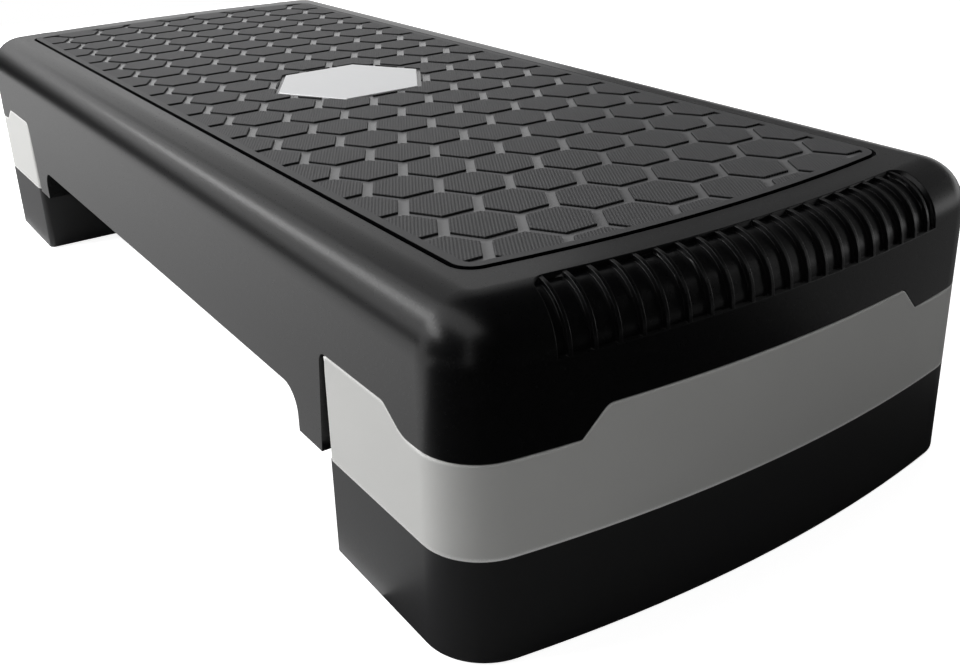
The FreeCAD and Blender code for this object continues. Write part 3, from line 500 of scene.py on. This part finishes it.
for fewer in (0, 1):
    columns = maths(hex_tree, "SUBTRACT", hex_in["Columns"], fewer)
    rows = maths(hex_tree, "SUBTRACT", hex_in["Rows"], fewer)
    long = maths(hex_tree, "MULTIPLY", maths(hex_tree, "SUBTRACT", columns, 1.0), hex_in["Pitch"])
    wide = maths(hex_tree, "MULTIPLY", maths(hex_tree, "SUBTRACT", rows, 1.0), row_pitch)
    lattice.append(add_node(hex_tree, "GeometryNodeMeshGrid", {
        "Size X": long, "Size Y": wide, "Vertices X": columns, "Vertices Y": rows}, "Mesh"))
hex_points = add_node(hex_tree, "GeometryNodeJoinGeometry", {"Geometry": lattice})
hex_place = add_node(hex_tree, "ShaderNodeCombineXYZ", {"Z": hex_in["Level"]})
hex_spots = add_node(hex_tree, "GeometryNodeTransform", {"Geometry": hex_points, "Translation": hex_place})
hex_set = add_node(hex_tree, "GeometryNodeInstanceOnPoints", {
    "Points": hex_spots, "Instance": hex_pad, "Rotation": HEX_TURN})
hex_real = add_node(hex_tree, "GeometryNodeRealizeInstances", {"Geometry": hex_set})
clear_radius = maths(hex_tree, "DIVIDE", hex_in["Clearing"], math.sqrt(3))
clear_block = add_node(hex_tree, "GeometryNodeMeshCylinder", {
    "Vertices": HEX_CORNERS, "Radius": clear_radius, "Depth": CLEARING_HEIGHT}, "Mesh")
clear_room = add_node(hex_tree, "GeometryNodeTransform", {"Geometry": clear_block, "Rotation": HEX_TURN})
hex_field = boolean(hex_tree, "DIFFERENCE", {"Mesh 1": hex_in["Geometry"], "Mesh 2": clear_room})
hex_kept = boolean(hex_tree, "INTERSECT", {1: [hex_real, hex_field]})
finish_tree(hex_tree, hex_kept, hex_in["Material"])


def raise_new(extruded, level):
    """Moves the points that an extrusion added to a level."""
    for added in extruded["geom"]:
        if isinstance(added, bmesh.types.BMVert):
            added.co.z = level


def mat_block(inset, low, high):
    """A block of the mat's outline, drawn in from its edge."""
    shape = merged("tread_mat")
    underside = min(shape.faces, key=lambda face: face.calc_center_median().z)
    others = [face for face in shape.faces if face is not underside]
    bmesh.ops.delete(shape, geom=others, context="FACES")
    if inset:
        rim = bmesh.ops.inset_region(
            shape, faces=[underside], thickness=inset, use_even_offset=True, use_boundary=True)
        bmesh.ops.delete(shape, geom=rim["faces"], context="FACES")
    raised = bmesh.ops.extrude_face_region(shape, geom=shape.faces[:])
    for vertex in shape.verts:
        vertex.co.z = low
    raise_new(raised, high)
    bmesh.ops.recalc_face_normals(shape, faces=shape.faces)
    return shape


tray = mat_block(0, MAT_LOW, HEX_FLOOR + HEX_HEIGHT)
tray_top = max(tray.faces, key=lambda face: face.calc_center_median().z)
bmesh.ops.inset_region(tray, faces=[tray_top], thickness=MAT_RIM, use_even_offset=True)
sunk = bmesh.ops.extrude_face_region(tray, geom=[tray_top])
bmesh.ops.delete(tray, geom=[tray_top], context="FACES_ONLY")
raise_new(sunk, HEX_FLOOR)
bmesh.ops.recalc_face_normals(tray, faces=tray.faces)
sheet = as_mesh("tread_mat_sheet", tray)
dressed("tread_mat_sheet", sheet, groove_rubber, "deck", "tread_mat")
sheet.materials.append(rim_rubber)
for face in sheet.polygons:
    if face.center.z > HEX_FLOOR + HEX_HEIGHT / 2:
        face.material_index = 1

field = as_mesh("tread_field", mat_block(MAT_RIM, MAT_LOW, HEX_FLOOR + 2 * HEX_HEIGHT))
hex_pads = grown("tread_pads", field, hex_tree, {
    "Pitch": HEX_PITCH,
    "Groove": HEX_GROOVE,
    "Height": HEX_HEIGHT,
    "Chamfer": HEX_CHAMFER,
    "Level": HEX_FLOOR,
    "Columns": HEX_COLUMNS,
    "Rows": HEX_ROWS,
    "Clearing": BADGE_WIDTH + HEX_GROOVE,
    "Material": pad_tread,
})
dressed("tread_mat_pads", hex_pads, pad_tread, "deck", "tread_mat")


# Badge plate
# A six-sided plate of satin aluminium with a slim bevel, let into the middle of the mat and left bare.

BADGE_DARK = "f4f5f6"
BADGE_LIGHT = "fcfcfd"
BADGE_METALLIC = 0.6
BADGE_SMOOTHEST = 0.34
BADGE_ROUGHEST = 0.46
BRUSH_LENGTH = 25 * MM
BRUSH_WIDTH = 0.5 * MM

# Satin aluminium: a pale metal, brushed along the platform. Its fine oxide skin scatters part of the
# light, so that it mirrors only in broad soft patches.
badge_metal, badge_tree = new_material("satin_aluminium")
badge_place = add_node(badge_tree, "ShaderNodeTexCoord", {}, "Object")
badge_lines = add_node(badge_tree, "ShaderNodeMapping", {
    "Vector": badge_place, "Scale": (1 / BRUSH_LENGTH, 1 / BRUSH_WIDTH, 1 / BRUSH_LENGTH)})
badge_brush = add_node(badge_tree, "ShaderNodeTexNoise", {
    "Vector": badge_lines, "Scale": 1.0, "Detail": 3.0})
badge_tone = add_node(badge_tree, "ShaderNodeMix", {
    "Factor": badge_brush, "A": linear(BADGE_DARK), "B": linear(BADGE_LIGHT)}, data_type="RGBA")
badge_gloss = add_node(badge_tree, "ShaderNodeMapRange", {
    "Value": badge_brush, "To Min": BADGE_SMOOTHEST, "To Max": BADGE_ROUGHEST})
badge_surface = add_node(badge_tree, "ShaderNodeBsdfPrincipled", {
    "Base Color": badge_tone, "Metallic": BADGE_METALLIC, "Roughness": badge_gloss})
add_node(badge_tree, "ShaderNodeOutputMaterial", {"Surface": badge_surface})
badge = as_mesh("badge_plate_bare", merged("badge_plate"))
dressed("badge_plate_bare", badge, badge_metal, "deck", "badge_plate")


# Studio
# A sheet of white paper under soft lamps. Cards from black to white around it show only in reflections:
# they keep the right end dark, and draw the light and dark stripes along the deck's shoulder.

FLOOR_WHITE = "f2f2f2"
FLOOR_RADIUS = 1.3
FLOOR_STEPS = 96
FLOOR_LEVEL = -0.2 * MM
FLOOR_GLOW = 0.9
WORLD_WHITE = "ffffff"
WORLD_LIGHT = 0.16
WORLD_SEEN = 1.0

# The strength at which each shade of card shows in a reflection
CARD_WHITE = "ffffff"
CARD_SHADES = {
    "black": 0.0, "dusk": 0.15, "slate": 0.3, "dim": 0.6, "grey": 0.54, "pale": 0.88, "white": 4.8}
# Where the cards of the room stand and end, in metres
CARD_LEVEL = 1 * MM
ROOM_LEFT = -1.7
ROOM_RIGHT = 1.5
ROOM_FRONT = -1.4
ROOM_BACK = 1.5
ROOM_TOP = 1.6
# Where the cards on the floor meet: before the right end, beside the near corner, and along the sides
END_EDGE = 0.27
CORNER_EDGE = 0.2
END_FRONT = -1.2
SIDE_LEFT = -1.6
SIDE_EDGE = -0.24
BACK_EDGE = 0.2
# The cards overhead slope up to the right, and the upper one on the left ends where they start
ROOF_FRONT = -0.4
ROOF_SEAM = -0.6
ROOF_LEFT_LEVEL = 1.3
ROOF_SEAM_LEVEL = 1.4
STRIP_LEVEL = 0.6
STRIP_OUTLINE = [
    (-1.25, -0.60), (-0.55, -0.62), (-0.15, -1.1), (0.15, -1.1), (0.1, -0.75), (-0.25, -0.44), (-1.25, -0.44)]

CAMERA_PLACE = Vector((0.5957, -0.3013, 0.2870))
CAMERA_AZIMUTH = math.radians(57.03)
CAMERA_ELEVATION = math.radians(25.50)
CAMERA_ROLL = math.radians(-2.25)
CAMERA_LENS = 41.72
CAMERA_NEAR = 0.01


def stage_sheet(name, points, material):
    """A plain sheet of the studio, which isn't part of the object."""
    mesh = bpy.data.meshes.new(name)
    mesh.from_pydata(points, [], [list(range(len(points)))])
    mesh.materials.append(material)
    sheet = bpy.data.objects.new(name, mesh)
    bpy.context.scene.collection.objects.link(sheet)
    return sheet


def seen_rays(tree):
    """1 for rays that come straight from the camera, or by way of a gloss or a clear piece."""
    rays = tree.nodes.new("ShaderNodeLightPath").outputs
    direct = maths(tree, "MAXIMUM", rays["Is Camera Ray"], rays["Is Glossy Ray"])
    return maths(tree, "MAXIMUM", direct, rays["Is Transmission Ray"])


# White paper: seen as white, with the shadow of the platform. From below it is clear, so that the
# underside of the platform can be seen.
paper, paper_tree = new_material("white_paper")
paper_shade = add_node(paper_tree, "ShaderNodeBsdfDiffuse", {"Color": linear(FLOOR_WHITE)})
paper_seen = maths(paper_tree, "MULTIPLY", seen_rays(paper_tree), FLOOR_GLOW)
paper_glow = add_node(paper_tree, "ShaderNodeEmission", {"Strength": paper_seen})
paper_both = add_node(paper_tree, "ShaderNodeAddShader", {0: paper_shade, 1: paper_glow})
paper_under = add_node(paper_tree, "ShaderNodeNewGeometry", {}, "Backfacing")
paper_clear = add_node(paper_tree, "ShaderNodeBsdfTransparent", {})
paper_sheet = add_node(paper_tree, "ShaderNodeMixShader", {0: paper_under, 1: paper_both, 2: paper_clear})
add_node(paper_tree, "ShaderNodeOutputMaterial", {"Surface": paper_sheet})
turns = [2 * math.pi * step / FLOOR_STEPS for step in range(FLOOR_STEPS)]
floor_rim = [(FLOOR_RADIUS * math.cos(turn), FLOOR_RADIUS * math.sin(turn), FLOOR_LEVEL) for turn in turns]
stage_sheet("paper_floor", floor_rim, paper)


def lying(left, right, front, back, left_level=CARD_LEVEL, right_level=CARD_LEVEL):
    """The corners of a card that lies flat or slopes from left to right."""
    return [
        (left, front, left_level), (right, front, right_level), (right, back, right_level),
        (left, back, left_level)]


def upright(start, stop, low, high):
    """The corners of a card that stands on the line from one point of the floor to another."""
    return [(*start, low), (*stop, low), (*stop, high), (*start, high)]


# Plain card: it shines evenly, and only in reflections.
cards = {}
for shade, strength in CARD_SHADES.items():
    cards[shade], card_tree = new_material(f"{shade}_card")
    card_glow = add_node(card_tree, "ShaderNodeEmission", {"Color": linear(CARD_WHITE), "Strength": strength})
    add_node(card_tree, "ShaderNodeOutputMaterial", {"Surface": card_glow})
for name, shade, points in (
    ("floor_card", "black", lying(END_EDGE, ROOM_RIGHT, END_FRONT, BACK_EDGE)),
    ("rear_card", "dusk", lying(-0.8, ROOM_RIGHT, BACK_EDGE, ROOM_BACK)),
    ("corner_card", "black", lying(CORNER_EDGE, END_EDGE, END_FRONT, SIDE_EDGE)),
    ("near_card", "dim", lying(SIDE_LEFT, END_EDGE, SIDE_EDGE, -0.146)),
    ("side_card", "pale", lying(SIDE_LEFT, CORNER_EDGE, ROOM_FRONT, SIDE_EDGE)),
    # A black card where the floor under the platform lies in shadow: painted shade, seen only in reflections
    ("under_shade_card", "black", lying(-0.34, END_EDGE, -0.14, BACK_EDGE)),
    ("front_card", "black", upright((-0.3, ROOM_FRONT), (ROOM_RIGHT, ROOM_FRONT), 0, ROOM_TOP)),
    ("back_card", "dusk", upright((ROOM_LEFT, ROOM_BACK), (ROOM_RIGHT, ROOM_BACK), 0.32, ROOM_TOP)),
    ("end_card", "black", upright((ROOM_RIGHT, END_FRONT), (ROOM_RIGHT, 1.3), 0, ROOM_TOP)),
    ("top_card", "black", lying(ROOF_SEAM, ROOM_RIGHT, ROOF_FRONT, ROOM_BACK, ROOF_SEAM_LEVEL, ROOM_TOP)),
    ("far_top_card", "slate", lying(
        ROOM_LEFT, ROOF_SEAM, ROOF_FRONT, ROOM_BACK, ROOF_LEFT_LEVEL, ROOF_SEAM_LEVEL)),
    ("low_card", "black", upright((-0.82, -1.35), (-1.56, 0.29), 0, 0.30)),
    ("upper_card", "grey", upright((ROOM_LEFT, -1.5), (ROOM_LEFT, ROOM_BACK), 0.64, ROOF_LEFT_LEVEL)),
    ("strip_light", "white", [(x, y, STRIP_LEVEL) for x, y in STRIP_OUTLINE]),
):
    card = stage_sheet(name, points, cards[shade])
    card.visible_camera = False
    card.visible_diffuse = False
    card.visible_transmission = False
    card.visible_shadow = False

world = bpy.data.worlds.new("studio")
bpy.context.scene.world = world
world.use_nodes = True
world_tree = world.node_tree
world_tree.nodes.clear()
world_level = add_node(world_tree, "ShaderNodeMapRange", {
    "Value": seen_rays(world_tree), "To Min": WORLD_LIGHT, "To Max": WORLD_SEEN})
world_light = add_node(world_tree, "ShaderNodeBackground", {
    "Color": linear(WORLD_WHITE), "Strength": world_level})
add_node(world_tree, "ShaderNodeOutputWorld", {"Surface": world_light})


def softbox(name, place, aim, wide, high, watts):
    """A soft rectangular lamp that faces a point."""
    lamp = bpy.data.lights.new(name, "AREA")
    lamp.shape = "RECTANGLE"
    lamp.size, lamp.size_y = wide, high
    lamp.energy = watts
    holder = bpy.data.objects.new(name, lamp)
    holder.location = place
    holder.rotation_mode = "QUATERNION"
    holder.rotation_quaternion = (Vector(aim) - Vector(place)).to_track_quat("-Z", "Y")
    holder.visible_glossy = False
    bpy.context.scene.collection.objects.link(holder)


softbox("key_softbox", place=(-1.2, -1.5, 0.9), aim=(0, 0, 0.07), wide=1.8, high=1.0, watts=58)
softbox("top_softbox", place=(-0.6, 0.3, 1.6), aim=(0, 0, 0.1), wide=1.4, high=1.4, watts=12)

camera = bpy.data.objects.new("camera", bpy.data.cameras.new("camera"))
camera.data.lens = CAMERA_LENS
camera.data.clip_start = CAMERA_NEAR
camera.location = CAMERA_PLACE
ahead = Vector((
    -math.sin(CAMERA_AZIMUTH) * math.cos(CAMERA_ELEVATION),
    math.cos(CAMERA_AZIMUTH) * math.cos(CAMERA_ELEVATION),
    -math.sin(CAMERA_ELEVATION),
))
camera.rotation_mode = "QUATERNION"
camera.rotation_quaternion = ahead.to_track_quat("-Z", "Y") @ Quaternion((0, 0, 1), CAMERA_ROLL)
bpy.context.scene.collection.objects.link(camera)
bpy.context.scene.camera = camera
bpy.context.scene.view_settings.view_transform = "Standard"
